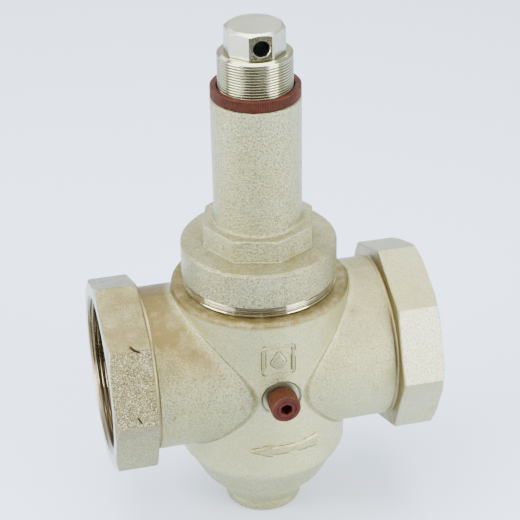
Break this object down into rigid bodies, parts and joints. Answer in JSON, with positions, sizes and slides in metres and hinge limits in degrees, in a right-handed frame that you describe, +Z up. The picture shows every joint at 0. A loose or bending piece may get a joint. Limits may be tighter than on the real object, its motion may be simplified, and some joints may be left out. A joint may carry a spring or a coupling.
{
  "type": "pressure reducing valve",
  "caption": "Piston-type pressure reducing valve with octagonal threaded pipe ends, upright barrel, bonnet with spring tube, lock ring, adjusting screw and gauge port plugs.",
  "frame": {"origin": "centre of the flat underside of the bottom boss, on the valve's vertical axis", "axes": "+Z up along the adjusting screw, +X along the pipe axis towards the inlet, -Y towards the front gauge port"},
  "size_m": [0.1834, 0.1184, 0.2975],
  "materials": {
    "cast_nickel": "sandblasted nickel plating over cast brass",
    "bonnet_nickel": "sandblasted nickel plating, turned bright on the band and the rims",
    "turned_nickel": "turned, bright nickel plating",
    "brass": "turned",
    "stainless": "turned stainless steel",
    "spring_steel": "drawn and oiled",
    "brown_plastic": "moulded, knurled",
    "white_plastic": "low-friction sliding plastic",
    "rubber": "moulded"
  },
  "bodies": {
    "housing": {"valve_body": "cast_nickel", "bonnet": "bonnet_nickel", "bonnet_o_ring": "rubber", "seat_ring": "stainless", "seat_o_ring": "rubber", "front_gauge_plug": "brown_plastic", "front_plug_o_ring": "rubber", "rear_gauge_plug": "brown_plastic", "rear_plug_o_ring": "rubber", "pressure_spring": "spring_steel"},
    "stem_group": {"valve_stem": "stainless", "piston": "brass", "piston_seal": "rubber", "piston_guide_band": "white_plastic", "upper_stem_washer": "stainless", "upper_stem_nut": "stainless", "lower_spring_plate": "brass", "disc_holder": "brass", "disc_gasket": "rubber", "gasket_retainer": "stainless", "gasket_nut": "stainless", "balance_piston": "brass", "balance_seal": "rubber", "balance_guide_band": "white_plastic", "lower_stem_nut": "stainless"},
    "spring_cap": {"upper_spring_plate": "brass", "slip_washer": "white_plastic"},
    "screw": {"adjusting_screw": "turned_nickel"},
    "ring": {"lock_ring": "brown_plastic"}
  },
  "joints": [
    {"name": "piston_travel", "type": "slide", "parent": "housing", "child": "stem_group", "axis": [0, 0, 1], "range_m": [0, 0.01], "stiffness_N_per_m": 30000, "springref_m": -0.02, "deforming": ["pressure_spring"]},
    {"name": "screw_travel", "type": "slide", "parent": "housing", "child": "spring_cap", "axis": [0, 0, 1], "range_m": [-0.012, 0.009], "deforming": ["pressure_spring"]},
    {"name": "screw_turn", "type": "hinge", "parent": "spring_cap", "child": "screw", "pos_m": [0, 0, 0.28], "axis": [0, 0, 1], "range_deg": [-2904, 2184]},
    {"name": "lock_ring_turn", "type": "hinge", "parent": "housing", "child": "ring", "pos_m": [0, 0, 0.2617], "axis": [0, 0, 1], "range_deg": [0, 360]}
  ],
  "couplings": [
    {"joint": "screw_turn", "follows": "screw_travel", "rad_per_m": 4188.8}
  ]
}
